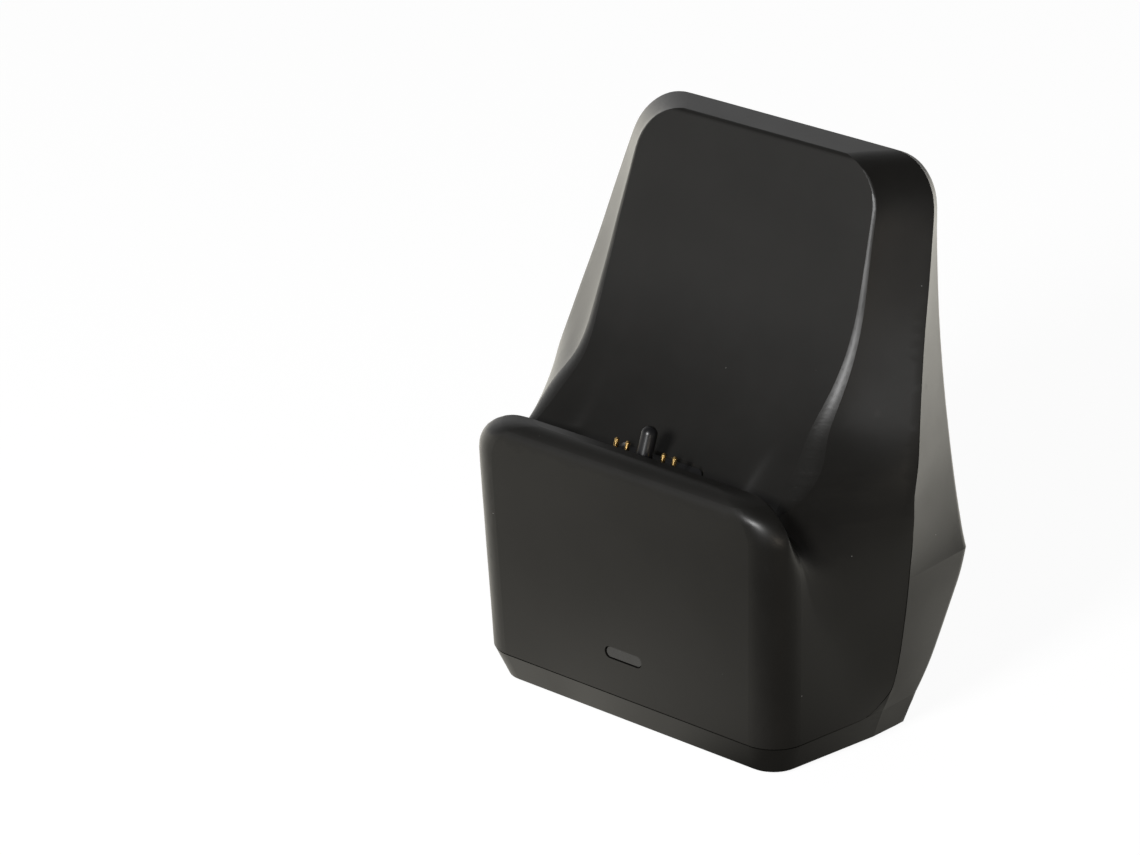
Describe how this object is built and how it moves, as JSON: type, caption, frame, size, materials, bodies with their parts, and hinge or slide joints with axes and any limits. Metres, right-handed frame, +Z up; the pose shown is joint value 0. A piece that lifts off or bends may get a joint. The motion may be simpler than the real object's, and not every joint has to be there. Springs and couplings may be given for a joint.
{
  "type": "controller charging stand",
  "caption": "Black desk stand that charges a game controller, with a curved back rest, a trough with sprung gold contacts and a guide post, and flared sides.",
  "frame": {"origin": "on the table, under the middle of the stand's box", "axes": "+Z up, -Y towards the front face, +X to the right seen from the front"},
  "size_m": [0.1014, 0.0571, 0.122],
  "materials": {
    "satin_shell": "moulded black, fine satin grain",
    "contact_plastic": "moulded black, smoother than the shells",
    "board_green": "lacquered circuit board",
    "bright_steel": "plated",
    "lamp_lens": "clear resin over a diode",
    "smoked_window": "dark translucent window",
    "wire_sleeve": "thin sleeve",
    "gold_plate": "gold plated",
    "spring_steel": "drawn wire",
    "foot_rubber": "matt"
  },
  "bodies": {
    "stand": {"front_cover": "satin_shell", "rear_shell": "satin_shell", "contact_block": "contact_plastic", "contact_board": "board_green", "main_board": "board_green", "socket_shell": "bright_steel", "socket_tongue": "contact_plastic", "status_led": "lamp_lens", "light_guide": "smoked_window", "link_wires": "wire_sleeve", "cover_screws": "bright_steel", "board_screws": "bright_steel", "block_screws": "bright_steel", "pin_barrel_1": "gold_plate", "pin_barrel_2": "gold_plate", "pin_barrel_3": "gold_plate", "pin_barrel_4": "gold_plate", "pin_spring_1": "spring_steel", "pin_spring_2": "spring_steel", "pin_spring_3": "spring_steel", "pin_spring_4": "spring_steel", "foot_1": "foot_rubber", "foot_2": "foot_rubber", "foot_3": "foot_rubber", "foot_4": "foot_rubber"},
    "pin_1": {"contact_pin_1": "gold_plate"},
    "pin_2": {"contact_pin_2": "gold_plate"},
    "pin_3": {"contact_pin_3": "gold_plate"},
    "pin_4": {"contact_pin_4": "gold_plate"}
  },
  "joints": [
    {"name": "pin_press_1", "type": "slide", "parent": "stand", "child": "pin_1", "axis": [0, 0.3223, 0.9466], "range_m": [-0.0012, 0], "stiffness_N_per_m": 400, "springref_m": 0.0012, "deforming": ["pin_spring_1"]},
    {"name": "pin_press_2", "type": "slide", "parent": "stand", "child": "pin_2", "axis": [0, 0.3223, 0.9466], "range_m": [-0.0012, 0], "stiffness_N_per_m": 400, "springref_m": 0.0012, "deforming": ["pin_spring_2"]},
    {"name": "pin_press_3", "type": "slide", "parent": "stand", "child": "pin_3", "axis": [0, 0.3223, 0.9466], "range_m": [-0.0012, 0], "stiffness_N_per_m": 400, "springref_m": 0.0012, "deforming": ["pin_spring_3"]},
    {"name": "pin_press_4", "type": "slide", "parent": "stand", "child": "pin_4", "axis": [0, 0.3223, 0.9466], "range_m": [-0.0012, 0], "stiffness_N_per_m": 400, "springref_m": 0.0012, "deforming": ["pin_spring_4"]}
  ]
}
